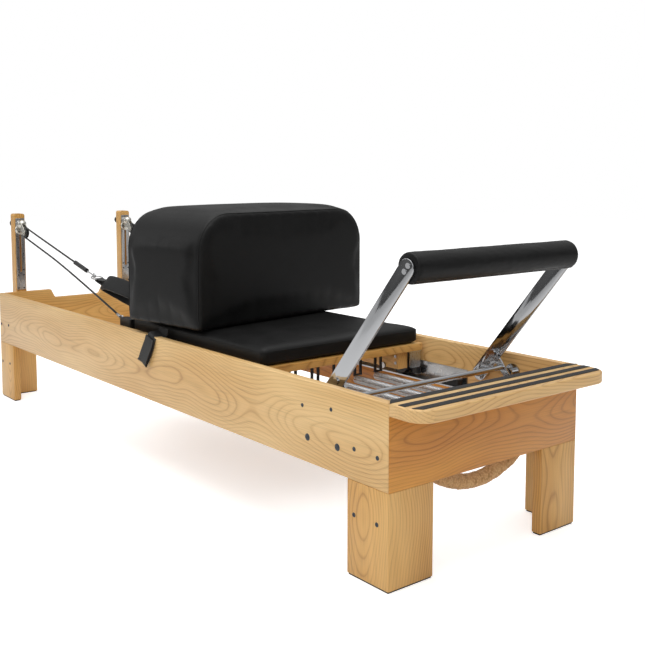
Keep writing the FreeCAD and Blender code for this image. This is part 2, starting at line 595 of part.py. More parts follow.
def make_fleece():
    x, half = S["fleeceX"], S["fleeceHalf"]
    a = Vector(x, -half, S["fleeceEnd"])
    b = Vector(x, 0, S["fleeceLow"])
    c = Vector(x, half, S["fleeceEnd"])
    arc = Part.Arc(a, b, c).toShape()
    strap = tube([arc], S["fleeceR"])
    shape_node("fleece_strap", strap)
    tails = []
    for way in (-1, 1):
        tails.append(block(3, 26, 71, x - 1.5, way * (half + 10) - 13, S["fleeceEnd"] + 4))
        tails.append(rod(3.0, 26.5, X, x - 1.5, way * (half + 10), S["fleeceEnd"] + 68))
    node("fleece_tails", fuse(*tails), 0, 0, 0)


make_rail("near_rail", -1)
make_rail("far_rail", 1)
node("foot_board", cross_wedge("@railHeight - @platformThick"), 0, 0, "@frameTop - @railHeight")
make_head_board()
make_platform()
make_legs()
make_carriage()
make_side_pieces("near", -1)
make_side_pieces("far", 1)
make_footbar()
make_box()
make_fleece()
for name, members in GROUPS.items():
    if name == "tracks":
        strips = doc.addObject("Part::Compound", "strips")
        strips.Links = members
        node(name, strips)
    else:
        node(name, fuse(*members))
doc.recompute()

for obj in doc.Objects:
    if "Invalid" in obj.State or "Error" in obj.State:
        raise RuntimeError("recompute failed on %s %s" % (obj.Name, obj.Label))

os.makedirs("parts", exist_ok=True)
for obj in NODES:
    if obj.Shape.isNull() or not obj.Shape.isValid():
        raise RuntimeError("bad shape %s" % obj.Label)
    obj.Shape.exportStep("parts/%s.step" % obj.Label)
print(len(NODES), "nodes written")
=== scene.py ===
import json
import math
import bmesh
import bpy
from mathutils import Matrix, Vector, noise


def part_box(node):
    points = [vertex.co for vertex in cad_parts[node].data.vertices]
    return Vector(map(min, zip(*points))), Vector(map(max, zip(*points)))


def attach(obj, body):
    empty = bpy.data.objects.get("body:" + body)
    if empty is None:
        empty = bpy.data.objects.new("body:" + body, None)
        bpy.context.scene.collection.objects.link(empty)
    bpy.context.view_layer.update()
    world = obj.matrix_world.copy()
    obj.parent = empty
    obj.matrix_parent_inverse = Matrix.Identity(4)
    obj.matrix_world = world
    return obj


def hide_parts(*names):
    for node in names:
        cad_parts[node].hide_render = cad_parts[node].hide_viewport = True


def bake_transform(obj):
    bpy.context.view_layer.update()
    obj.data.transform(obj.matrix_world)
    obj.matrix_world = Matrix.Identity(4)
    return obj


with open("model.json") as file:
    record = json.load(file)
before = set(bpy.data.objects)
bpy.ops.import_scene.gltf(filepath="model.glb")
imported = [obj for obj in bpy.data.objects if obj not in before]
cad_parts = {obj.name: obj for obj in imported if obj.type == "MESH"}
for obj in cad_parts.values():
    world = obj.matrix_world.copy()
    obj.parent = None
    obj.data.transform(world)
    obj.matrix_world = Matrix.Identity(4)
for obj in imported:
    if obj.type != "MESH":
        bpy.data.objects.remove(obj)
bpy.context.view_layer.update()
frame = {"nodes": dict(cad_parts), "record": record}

nodes = frame["nodes"]
mm = 0.001
bodyOf = {}
for bodyName, members in frame["record"]["behaviour"]["bodies"].items():
    for member in members:
        bodyOf[member] = bodyName
slotOf = {part["node"]: part["material_slot"] for part in frame["record"]["subparts"]}


def place(x, y, z):  # a place on the frame in mm, to the row frame in metres
    return Vector(((x + 1173) * mm, (y - 30) * mm, z * mm))


def colour(hexText):
    parts = [int(hexText[i:i + 2], 16) / 255 for i in (1, 3, 5)]
    return [c / 12.92 if c <= 0.04045 else ((c + 0.055) / 1.055) ** 2.4 for c in parts] + [1.0]


def addNode(tree, kind, values=None, **settings):
    made = tree.nodes.new(kind)
    for key, value in settings.items():
        setattr(made, key, value)
    for key, value in (values or {}).items():
        if isinstance(value, bpy.types.NodeSocket):
            tree.links.new(value, made.inputs[key])
        else:
            made.inputs[key].default_value = value
    return made


def newMaterial(name, values):
    material = bpy.data.materials.new(name)
    material.use_nodes = True
    shader = material.node_tree.nodes["Principled BSDF"]
    for key, value in values.items():
        shader.inputs[key].default_value = value
    return material, material.node_tree, shader


def ramp(tree, factor, stops):
    made = addNode(tree, "ShaderNodeValToRGB", {"Fac": factor})
    marks = made.color_ramp.elements
    while len(marks) < len(stops):
        marks.new(0.5)
    for mark, (where, shade) in zip(marks, stops):
        mark.position = where
        mark.color = colour(shade) if isinstance(shade, str) else (shade, shade, shade, 1)
    return made.outputs["Color"]


def bump(tree, shader, height, distance, strength=1.0):
    made = addNode(tree, "ShaderNodeBump", {"Height": height, "Distance": distance, "Strength": strength})
    tree.links.new(made.outputs["Normal"], shader.inputs["Normal"])


def objectPlace(tree, scale=(1, 1, 1)):
    where = addNode(tree, "ShaderNodeTexCoord").outputs["Object"]
    return addNode(tree, "ShaderNodeMapping", {"Vector": where, "Scale": scale}).outputs[0]


def finish(obj, body, slotName, material, *replaced, smooth=True):
    obj.data.materials.clear()
    obj.data.materials.append(material)
    if smooth:
        for face in obj.data.polygons:
            face.use_smooth = True
    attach(obj, body)
    if replaced:
        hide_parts(*replaced)
    return obj


def objectFrom(name, bm):
    mesh = bpy.data.meshes.new(name)
    bm.to_mesh(mesh)
    bm.free()
    obj = bpy.data.objects.new(name, mesh)
    bpy.context.scene.collection.objects.link(obj)
    return obj


def copyOf(node):  # a welded copy of a CAD node's mesh
    bm = bmesh.new()
    bm.from_mesh(nodes[node].data)
    bmesh.ops.remove_doubles(bm, verts=bm.verts, dist=0.00002)
    bmesh.ops.dissolve_limit(bm, angle_limit=0.01, verts=bm.verts, edges=bm.edges)
    return bm


def softEdges(node, width, material):
    bm = copyOf(node)
    corner = math.radians(50)
    sharp = [e for e in bm.edges if len(e.link_faces) == 2 and e.calc_face_angle(0) > corner
             and e.calc_length() > 2.2 * width]
    bmesh.ops.bevel(bm, geom=sharp, offset=width, offset_type="OFFSET", segments=3, profile=0.5,
                    affect="EDGES", material=-1, clamp_overlap=True)
    obj = objectFrom(node + "_board", bm)
    for face in obj.data.polygons:
        face.use_smooth = True
    finish(obj, bodyOf[node], slotOf[node], material, node)
    obj.data.set_sharp_from_angle(angle=math.radians(32))
    return obj


def curveLine(points, closed=False):  # a NURBS line through the route's control points
    curve = bpy.data.curves.new("line", "CURVE")
    curve.dimensions = "3D"
    spline = curve.splines.new("NURBS")
    spline.points.add(len(points) - 1)
    for point, where in zip(spline.points, points):
        point.co = (*where, 1)
    spline.use_cyclic_u = closed
    spline.order_u = 3
    spline.use_endpoint_u = not closed
    spline.resolution_u = 12
    return curve


def meshOf(curve, name):
    holder = bpy.data.objects.new(name, curve)
    bpy.context.scene.collection.objects.link(holder)
    bpy.context.view_layer.update()
    mesh = bpy.data.meshes.new_from_object(holder.evaluated_get(bpy.context.evaluated_depsgraph_get()))
    bpy.data.objects.remove(holder)
    return mesh


# a flat band swept along a route
def sweep(name, points, width, thick, closed=False, tilt=0.0, detail=12):
    profile = bpy.data.curves.new("profile", "CURVE")
    profile.dimensions = "2D"
    edge = profile.splines.new("POLY")
    r = min(width, thick) * 0.45
    spots = []
    for cx, cy, start in ((1, 1, 0), (-1, 1, 90), (-1, -1, 180), (1, -1, 270)):
        for step in range(4):
            angle = math.radians(start + step * 30)
            spots.append((cx * (width / 2 - r) + r * math.cos(angle),
                          cy * (thick / 2 - r) + r * math.sin(angle)))
    edge.points.add(len(spots) - 1)
    for point, (x, y) in zip(edge.points, spots):
        point.co = (x, y, 0, 1)
    edge.use_cyclic_u = True
    holder = bpy.data.objects.new("profile", profile)
    bpy.context.scene.collection.objects.link(holder)
    curve = curveLine(points, closed)
    curve.splines[0].resolution_u = detail
    curve.twist_mode = "MINIMUM"
    curve.bevel_mode = "OBJECT"
    curve.bevel_object = holder
    curve.use_fill_caps = not closed
    for point in curve.splines[0].points:
        point.tilt = tilt
    mesh = meshOf(curve, name)
    bpy.data.objects.remove(holder)
    bm = bmesh.new()
    bm.from_mesh(mesh)
    bmesh.ops.remove_doubles(bm, verts=bm.verts, dist=0.00001)
    bmesh.ops.recalc_face_normals(bm, faces=bm.faces)
    return objectFrom(name, bm)


def lineOf(points):  # points along the smooth line
    mesh = meshOf(curveLine(points), "path")
    return [v.co.copy() for v in mesh.vertices]


def roundCord(name, points, radius, closed=False, detail=12):
    curve = curveLine(points, closed)
    curve.splines[0].resolution_u = detail
    curve.bevel_depth = radius
    curve.bevel_resolution = 4
    curve.use_fill_caps = not closed
    mesh = meshOf(curve, name)
    bm = bmesh.new()
    bm.from_mesh(mesh)
    bmesh.ops.remove_doubles(bm, verts=bm.verts, dist=0.00001)
    bmesh.ops.recalc_face_normals(bm, faces=bm.faces)
    return objectFrom(name, bm)


# flat-sawn maple under clear satin lacquer: cathedral rings round a wandering pith, fine pores
def lacqueredWood(name, grain, pith, tone=0, ringEvery=0.0068, wander=0.12):
    pale, mid, dark = woodTones[tone]
    material, tree, shader = newMaterial(name, {"Roughness": 0.40, "Coat Weight": 0.22, "Coat Roughness": 0.2,
                                                "Specular IOR Level": 0.4})
    sides = [axis for axis in "XYZ" if axis != grain]

    def drawnOut(along, across):  # object coordinates, scaled along and across the grain
        return objectPlace(tree, [along if axis == grain else across for axis in "XYZ"])

    slow = addNode(tree, "ShaderNodeTexNoise", {"Vector": drawnOut(1.0, 0.25), "Scale": 2.3, "Detail": 1.5,
                                                "Roughness": 0.4})
    ripple = addNode(tree, "ShaderNodeTexNoise", {"Vector": drawnOut(3.0, 15.0), "Scale": 1.0, "Detail": 2.5,
                                                  "Roughness": 0.5})
    split = addNode(tree, "ShaderNodeSeparateXYZ", {"Vector": objectPlace(tree)})
    tints = addNode(tree, "ShaderNodeSeparateColor", {"Color": slow.outputs["Color"]})
    squares = []
    for side, centre, tint in zip(sides, pith, ("Red", "Green")):
        away = addNode(tree, "ShaderNodeMath", {0: split.outputs[side], 1: centre}, operation="SUBTRACT")
        drift = addNode(tree, "ShaderNodeMath", {0: tints.outputs[tint], 1: 0.5}, operation="SUBTRACT")
        shift = addNode(tree, "ShaderNodeMath", {0: drift.outputs[0], 1: wander, 2: away.outputs[0]},
                        operation="MULTIPLY_ADD")
        squares.append(addNode(tree, "ShaderNodeMath", {0: shift.outputs[0], 1: shift.outputs[0]},
                               operation="MULTIPLY").outputs[0])
    total = addNode(tree, "ShaderNodeMath", {0: squares[0], 1: squares[1]}, operation="ADD")
    radius = addNode(tree, "ShaderNodeMath", {0: total.outputs[0], 1: 0.5}, operation="POWER")
    wavy = addNode(tree, "ShaderNodeMath", {0: ripple.outputs["Fac"], 1: 0.009, 2: radius.outputs[0]},
                   operation="MULTIPLY_ADD")
    turns = addNode(tree, "ShaderNodeMath", {0: wavy.outputs[0], 1: 1 / ringEvery}, operation="MULTIPLY")
    part = addNode(tree, "ShaderNodeMath", {0: turns.outputs[0]}, operation="FRACT")
    lines = ramp(tree, part.outputs[0], [(0.0, 0.85), (0.10, 0.30), (0.45, 0.05), (0.80, 0.10), (0.95, 0.65),
                                         (1.0, 0.85)])
    pores = addNode(tree, "ShaderNodeTexNoise", {"Vector": drawnOut(7.0, 480.0), "Scale": 1.0, "Detail": 2.0,
                                                 "Roughness": 0.6})
    cloudy = addNode(tree, "ShaderNodeTexNoise", {"Vector": drawnOut(2.0, 9.0), "Scale": 1.0, "Detail": 2.0})
    base = ramp(tree, cloudy.outputs["Fac"], [(0.32, pale), (0.68, mid)])
    strength = ramp(tree, cloudy.outputs["Fac"], [(0.35, 0.35), (0.65, 0.75)])
    amount = addNode(tree, "ShaderNodeMath", {0: lines, 1: strength}, operation="MULTIPLY")
    ringed = addNode(tree, "ShaderNodeMix", {0: amount.outputs[0], 6: base, 7: colour(dark)},
                     data_type="RGBA")
    streak = ramp(tree, pores.outputs["Fac"], [(0.32, 0.80), (0.50, 1.0), (0.7, 1.0)])
    grained = addNode(tree, "ShaderNodeMix", {0: 0.8, 6: ringed.outputs[2], 7: streak},
                      data_type="RGBA", blend_type="MULTIPLY")
    tree.links.new(grained.outputs[2], shader.inputs["Base Color"])
    bump(tree, shader, pores.outputs["Fac"], 0.00012, 0.35)
    return material


# PVC-coated upholstery cloth: fine pebbled emboss, a dull satin sheen
def grainedVinyl(name, base, grainSize=1.4, roughness=0.46):
    material, tree, shader = newMaterial(name, {"Roughness": roughness, "Specular IOR Level": 0.2,
                                                "Sheen Weight": 0.01, "Sheen Roughness": 0.5})
    cells = addNode(tree, "ShaderNodeTexVoronoi", {"Vector": objectPlace(tree),
                                                   "Scale": 1000 / grainSize}, feature="SMOOTH_F1")
    broad = addNode(tree, "ShaderNodeTexNoise", {"Vector": objectPlace(tree), "Scale": 14.0, "Detail": 4.0})
    shade = ramp(tree, broad.outputs["Fac"], [(0.30, base[0]), (0.70, base[1])])
    tree.links.new(shade, shader.inputs["Base Color"])
    wear = ramp(tree, broad.outputs["Fac"], [(0.2, roughness - 0.06), (0.8, roughness + 0.08)])
    tree.links.new(wear, shader.inputs["Roughness"])
    bump(tree, shader, cells.outputs["Distance"], 0.00025, 0.45)
    return material


def brightMetal(name, tint, roughness, scratch=0.05, scale=180.0):
    material, tree, shader = newMaterial(name, {"Metallic": 1.0, "Roughness": roughness,
                                                "Base Color": colour(tint)})
    marks = addNode(tree, "ShaderNodeTexNoise", {"Vector": objectPlace(tree), "Scale": scale, "Detail": 4.0})
    rough = ramp(tree, marks.outputs["Fac"], [(0.25, max(roughness - scratch, 0.02)),
                                              (0.75, roughness + scratch)])
    tree.links.new(rough, shader.inputs["Roughness"])
    bump(tree, shader, marks.outputs["Fac"], 0.00003, 0.25)
    return material


# moulded ABS or rubber: near black, very fine spark-eroded texture
def mouldedBlack(name, base, roughness, texture=700.0):
    material, tree, shader = newMaterial(name, {"Roughness": roughness, "Specular IOR Level": 0.45})
    specks = addNode(tree, "ShaderNodeTexNoise", {"Vector": objectPlace(tree), "Scale": texture,
                                                  "Detail": 3.0})
    shade = ramp(tree, specks.outputs["Fac"], [(0.3, base[0]), (0.7, base[1])])
    tree.links.new(shade, shader.inputs["Base Color"])
    bump(tree, shader, specks.outputs["Fac"], 0.00006, 0.5)
    return material


# extruded anti-slip strip: black rubber with fine lengthwise ribs 2.6 mm apart
def ribbedRubber(name):
    material, tree, shader = newMaterial(name, {"Roughness": 0.62, "Specular IOR Level": 0.35})
    ribs = addNode(tree, "ShaderNodeTexWave", {"Vector": objectPlace(tree), "Scale": 1000 / 2.6 / 6.2832 * 2},
                   wave_type="BANDS", bands_direction="X")
    # painted highlight and shade: the colour follows the ribs, lighter on the rib crests and darker in the
    # grooves
    shade = ramp(tree, ribs.outputs["Fac"], [(0.0, "#161616"), (1.0, "#3a3a3b")])
    tree.links.new(shade, shader.inputs["Base Color"])
    bump(tree, shader, ribs.outputs["Fac"], 0.0006, 0.7)
    return material


# nylon webbing: flat black weave, threads drawn 1.6 mm wide so that they show
def wovenStrap(name, base, thread=1.6):
    material, tree, shader = newMaterial(name, {"Roughness": 0.66, "Sheen Weight": 0.15,
                                                "Sheen Roughness": 0.4})
    turns = 1000 / thread / 6.2832 * 2
    one = addNode(tree, "ShaderNodeTexWave", {"Vector": objectPlace(tree), "Scale": turns},
                  wave_type="BANDS", bands_direction="DIAGONAL")
    two = addNode(tree, "ShaderNodeTexWave", {"Vector": objectPlace(tree, (-1, 1, 1)), "Scale": turns},
                  wave_type="BANDS", bands_direction="DIAGONAL")
    both = addNode(tree, "ShaderNodeMath", {0: one.outputs["Fac"], 1: two.outputs["Fac"]},
                   operation="MULTIPLY")
    shade = ramp(tree, both.outputs[0], [(0.0, base[0]), (1.0, base[1])])
    tree.links.new(shade, shader.inputs["Base Color"])
    bump(tree, shader, both.outputs[0], 0.0003, 0.6)
    return material


# short sheepskin pile: cream-brown wool with painted shade, darker between the curls, soft sheen
def fleeceWool(name):
    material, tree, shader = newMaterial(name, {"Roughness": 0.95, "Sheen Weight": 0.2,
                                                "Sheen Roughness": 0.5, "Specular IOR Level": 0.1})
    curls = addNode(tree, "ShaderNodeTexVoronoi", {"Vector": objectPlace(tree), "Scale": 190.0})
    tint = addNode(tree, "ShaderNodeTexNoise", {"Vector": objectPlace(tree), "Scale": 45.0, "Detail": 5.0})
    # painted shade: the colour darkens away from each curl centre, between the curls, times a random tint
    curlShadeAndTint = addNode(tree, "ShaderNodeMath", {0: curls.outputs["Distance"], 1: tint.outputs["Fac"]},
                    operation="MULTIPLY")
    shade = ramp(tree, curlShadeAndTint.outputs[0], [(0.05, "#dcb684"), (0.28, "#c99d6b"), (0.6, "#a37a4a")])
    tree.links.new(shade, shader.inputs["Base Color"])
    fluff = addNode(tree, "ShaderNodeTexNoise", {"Vector": objectPlace(tree), "Scale": 900.0, "Detail": 4.0})
    bump(tree, shader, fluff.outputs["Fac"], 0.0012, 0.8)
    return material


woodTones = [("#e8c48a", "#dcb274", "#a8743a"), ("#e2b46e", "#d4a056", "#94602a"),
             ("#d7953c", "#c68232", "#824810")]  # pale, mid and ring line, from the lightest board
woods = {"near_rail": ("X", (-0.42, 0.31), 0), "far_rail": ("X", (0.36, 0.36), 0),
         "foot_board": ("Y", (1.23, 0.33), 2), "head_board": ("Y", (-1.13, 0.31), 1),
         "standing_platform": ("Y", (1.21, 0.33), 0), "ledgers": ("X", (-0.03, 0.18), 2),
         "foot_near_leg": ("Z", (1.09, -0.44), 1), "foot_far_leg": ("Z", (1.25, 0.21), 1),
         "head_near_leg": ("Z", (-1.12, -0.42), 1), "head_far_leg": ("Z", (-1.10, 0.22), 1),
         "near_riser_post": ("Z", (-1.15, -0.29), 1), "far_riser_post": ("Z", (-1.15, 0.17), 1),
         "carriage_deck": ("Y", (0.3, 0.34), 1), "runners": ("X", (-0.03, 0.30), 1),
         "headrest_board": ("Y", (-0.2, 0.34), 1)}
maple = {node: lacqueredWood("maple_lacquered_" + node, *how) for node, how in woods.items()}
vinyl = grainedVinyl("upholstery_vinyl", ("#0b0b0b", "#121212"))
vinylSmooth = grainedVinyl("upholstery_vinyl_smooth", ("#090909", "#0e0e0e"), 0.9, 0.44)
chrome = brightMetal("chrome_plate", "#b2b3b5", 0.07, 0.03, 60.0)
darkZinc = brightMetal("black_zinc_screws", "#4c5157", 0.36, 0.08, 260.0)
zinc = brightMetal("zinc_plated_steel", "#b9babb", 0.30, 0.08, 260.0)
castZinc = brightMetal("cast_zinc_plated", "#c9c6bd", 0.26, 0.10, 140.0)
springSteel = brightMetal("nickel_spring_wire", "#c4c5c6", 0.18, 0.05, 300.0)
powderBlack = mouldedBlack("powder_coated_steel", ("#141414", "#1e1e1e"), 0.45, 500.0)
plastic = mouldedBlack("moulded_abs_black", ("#131313", "#1d1d1e"), 0.42)
rubber = mouldedBlack("moulded_rubber_black", ("#141414", "#1b1b1b"), 0.75, 400.0)
gripRubber = ribbedRubber("ribbed_rubber_strip")
webbing = wovenStrap("nylon_webbing_black", ("#060606", "#121212"))
braid = wovenStrap("braided_polyester_cord", ("#080808", "#161616"), 2.2)
wool = fleeceWool("sheepskin_pile")
bySlot = {"pale_wood": maple["near_rail"], "warm_wood": maple["foot_board"], "black_vinyl": vinyl,
          "chrome": chrome, "zinc_steel": zinc, "black_metal": powderBlack, "spring_wire": springSteel,
          "cast_zinc": castZinc, "black_plastic": plastic, "black_rubber": rubber, "rope": braid,
          "webbing": webbing, "sheepskin": wool}
for node, obj in nodes.items():
    obj.data.materials.clear()
    obj.data.materials.append(bySlot[slotOf[node]])
nodes["grip_strips"].data.materials[0] = gripRubber
print("materials made")


edges = {"near_rail": 2.5, "far_rail": 2.5, "foot_board": 0.8, "head_board": 2.5, "standing_platform": 0.6,
         "ledgers": 2.0, "foot_near_leg": 1.8, "foot_far_leg": 1.8, "head_near_leg": 1.8, "head_far_leg": 1.8,
         "near_riser_post": 1.8, "far_riser_post": 1.8, "carriage_deck": 2.5, "runners": 1.5,
         "headrest_board": 2.0}
for node, width in edges.items():
    softEdges(node, width * mm, maple[node])
for node, width in {"near_arm": 1.0, "far_arm": 1.0, "riser_plates": 0.5, "guide_brackets": 0.5,
                    "prop_frame": 0.8}.items():
    softEdges(node, width * mm, bySlot[slotOf[node]])
print("boards and plates done")


# copies the CAD pad, swells it as cloth and caps the swelling
def stuffed(name, node, body, material, size, replaced):
    bm = copyOf(node)
    bmesh.ops.triangulate(bm, faces=bm.faces)
    low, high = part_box(node)
    middle = (low + high) / 2
    for v in bm.verts:
        for axis in range(3):
            half = (high[axis] - low[axis]) / 2
            v.co[axis] = middle[axis] + (v.co[axis] - middle[axis]) * (half - size["inset"] * mm) / half
    obj = objectFrom(name, bm)
    remesh = obj.modifiers.new("voxels", "REMESH")
    remesh.mode = "VOXEL"
    remesh.voxel_size = size["voxel"] * mm
    remesh.use_smooth_shade = True
    applyModifiers(obj)
    start = [v.co.copy() for v in obj.data.vertices]
    cloth = obj.modifiers.new("cloth", "CLOTH")
    cloth.settings.use_pressure = True
    cloth.settings.uniform_pressure_force = size["pressure"]
    cloth.settings.effector_weights.gravity = 0
    cloth.settings.tension_stiffness = 25
    cloth.settings.compression_stiffness = 25
    scene = bpy.context.scene
    for step in range(1, 21):
        scene.frame_set(step)
    applyModifiers(obj)
    scene.frame_set(1)
    cap = size["cap"] * mm
    for v, was in zip(obj.data.vertices, start):
        move = v.co - was
        if move.length > cap:
            move = move * (cap / move.length)
        where = was + move
        for axis in range(3):
            top = high[axis] + size["proud"] * mm * (axis == 2)
            where[axis] = min(max(where[axis], low[axis] + 0.0002), top)
        v.co = where
    smoothed = obj.modifiers.new("smooth", "CORRECTIVE_SMOOTH")
    smoothed.use_only_smooth = True
    smoothed.iterations = size["smooth"]
    sub = obj.modifiers.new("fine", "SUBSURF")
    sub.levels = sub.render_levels = 1
    applyModifiers(obj)
    finish(obj, body, "black_vinyl", material, *replaced)
    return obj


def applyModifiers(obj):
    bpy.context.view_layer.update()
    mesh = bpy.data.meshes.new_from_object(obj.evaluated_get(bpy.context.evaluated_depsgraph_get()))
    obj.modifiers.clear()
    obj.data = mesh


# raises the top of a pad in a gentle dome
def crown(obj, centre, halfX, halfY, lift, base, turn=0.0):
    spin = Matrix.Rotation(-turn, 3, "Z")
    for v in obj.data.vertices:
        flat = spin @ (v.co - centre)
        u, w = min(abs(flat.x) / halfX, 1), min(abs(flat.y) / halfY, 1)
        share = max(0.0, (v.co.z - base) / 0.05)
        v.co.z += lift * (1 - u ** 3) * (1 - w ** 3) * min(share, 1)


# a sewn welt laid on the pad's surface
def seamAlong(name, target, points, radius, body, material, closed=True):
    laid = []
    for point in points:
        spot, normal = target.closest_point_on_mesh(point)[1:3]
        laid.append(spot + normal * radius * 0.15)
    cord = roundCord(name, laid, radius, closed, 2)
    finish(cord, body, "black_vinyl", material)
    return cord


# points round a rounded rectangle, in metres
def roundedLoop(cx, cy, halfX, halfY, radius, z):
    steps, gap = 6, 0.03
    spots = []
    for sx, sy, start in ((1, 1, 0), (-1, 1, 90), (-1, -1, 180), (1, -1, 270)):
        for step in range(steps + 1):
            angle = math.radians(start + 90 * step / steps)
            spots.append(Vector((cx + sx * (halfX - radius) + radius * math.cos(angle),
                                 cy + sy * (halfY - radius) + radius * math.sin(angle), z)))
    full = []
    for a, b in zip(spots, spots[1:] + spots[:1]):
        count = max(1, int((b - a).length / gap))
        full += [a.lerp(b, i / count) for i in range(count)]
    return full


carriagePad = {"inset": 3.0, "voxel": 7.0, "pressure": 4.0, "cap": 6.0, "proud": 3.0, "smooth": 2,
               "fill": 0.9}
boxPad = {"inset": 3.0, "voxel": 8.0, "pressure": 3.0, "cap": 5.0, "proud": 8.0, "smooth": 2, "fill": 0.9}
smallPad = {"inset": 3.5, "voxel": 5.0, "pressure": 4.0, "cap": 6.0, "proud": 3.0, "smooth": 2, "fill": 0.8}
boxShape = {"halfX": 0.182, "halfY": 0.365, "high": 0.352, "round": 0.118, "base": 0.4632, "crown": 0.010,
            "crownFrom": 0.75}
pad = stuffed("carriage_cushion", "carriage_pad", "carriage", vinyl, carriagePad, ["carriage_pad"])
headPad = stuffed("headrest_cushion", "headrest_pad", "headrest", vinyl, smallPad, ["headrest_pad"])
stuffed("shoulder_cushions", "shoulder_pads", "carriage", vinyl, smallPad, ["shoulder_pads"])
boxTurn = math.radians(8.2)
bigBox = stuffed("padded_box", "sitting_box", "box", vinylSmooth, boxPad, ["sitting_box"])
boxMid = place(-1067, 30, 0)
crown(bigBox, boxMid, boxShape["halfX"], boxShape["halfY"], boxShape["crown"], boxShape["crownFrom"], boxTurn)
low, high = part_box("carriage_pad")
for v in pad.data.vertices:
    u = min(abs(v.co.y + 0.030) / 0.295, 1)
    v.co.z += 0.0022 * (1 - u ** 4) * max(0, (v.co.z - low.z) / (high.z - low.z))
print("cushions done")


# outline of the box's front or back face, in the row frame
def boxFace(side, inset):
    halfY, high, radius = boxShape["halfY"] - inset, boxShape["high"], boxShape["round"] - inset
    x = side * (boxShape["halfX"] - 0.009)
    base = boxShape["base"]
    spots = [Vector((x, -halfY, base + 0.006))]
    for sy, start in ((-1, 180), (1, 90)):
        for step in range(9):
            angle = math.radians(start - 90 * step / 8)
            spots.append(Vector((x, sy * (halfY - radius) + radius * math.cos(angle),
                                 base + high - inset - radius + radius * math.sin(angle))))
    spots.append(Vector((x, halfY, base + 0.006)))
    full = []
    for a, b in zip(spots, spots[1:]):
        count = max(1, int((b - a).length / 0.03))
        full += [a.lerp(b, i / count) for i in range(count)]
    full.append(spots[-1])
    spin = Matrix.Rotation(boxTurn, 4, "Z")
    return [boxMid + (spin @ p) for p in full]


for label, side in (("front", 1), ("back", -1)):
    seamAlong("box_welt_" + label, bigBox, boxFace(side, 0.002), 0.0016, "box", vinylSmooth, closed=False)
low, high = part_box("carriage_pad")
padLoop = roundedLoop(place(-910, 0, 0).x, -0.030, 0.377, 0.295, 0.016, high.z - 0.006)
seamAlong("carriage_pad_welt", pad, padLoop, 0.0011, "carriage", vinyl)
low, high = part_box("headrest_pad")
middle = (low + high) / 2
headLoop = roundedLoop(middle.x, middle.y, (high.x - low.x) / 2, (high.y - low.y) / 2, 0.02, high.z - 0.007)
seamAlong("headrest_welt", headPad, headLoop, 0.0011, "headrest", vinyl)
print("seams done")


barPad = {"x": 0.05, "z": 721.2, "radius": 36.0, "half": 281.5, "bore": 12.8, "seam": 1.3, "seamAngle": -62.0}


def makeBarPad():
    r, half, bore = barPad["radius"], barPad["half"], barPad["bore"]
    profile = [(bore, -half), (r - 9, -half), (r - 3.4, -half + 0.7), (r - 0.9, -half + 3), (r, -half + 7)]
    profile += [(r, -half + 7 + (2 * half - 14) * i / 90) for i in range(1, 90)]
    profile += [(radius, -y) for radius, y in reversed(profile[:5])]
    bm = bmesh.new()
    verts = [bm.verts.new((0, y * mm, radius * mm)) for radius, y in profile]
    line = [bm.edges.new(pair) for pair in zip(verts, verts[1:])]
    bmesh.ops.spin(bm, geom=verts + line, cent=(0, 0, 0), axis=(0, 1, 0), angle=2 * math.pi, steps=120,
                   use_merge=True, use_duplicate=False)
    bmesh.ops.remove_doubles(bm, verts=bm.verts, dist=0.00005)
    bmesh.ops.recalc_face_normals(bm, faces=bm.faces)
    for v in bm.verts:
        radius = math.hypot(v.co.x, v.co.z)
        if radius < (r - 8) * mm:
            continue
        angle = math.degrees(math.atan2(v.co.z, v.co.x))
        puff = 0.9 * noise.noise(Vector((v.co.y * 11, angle / 40, 3.0)))
        puff += 0.35 * noise.noise(Vector((v.co.y * 60, angle / 14, 9.0)))
        away = abs((angle - barPad["seamAngle"] + 180) % 360 - 180)
        wavy = 0.55 + 0.45 * noise.noise(Vector((v.co.y * 90, 1.0, 1.0)))
        puff += barPad["seam"] * max(0.0, 1 - away / 5.5) * wavy - 0.7 * max(0.0, 1 - abs(away - 8.5) / 4)
        share = (radius + puff * mm) / radius
        v.co.x *= share
        v.co.z *= share
    for v in bm.verts:
        v.co += place(barPad["x"], 0, barPad["z"])
    obj = finish(objectFrom("footbar_roll", bm), "footbar", "black_vinyl", vinyl, "footbar_pad")


makeBarPad()


coil = {"from": -113.0, "to": -590.0, "height": 322.0, "radius": 10.4, "wire": 1.55, "turns": 92, "steps": 13,
        "apart": 80.0}


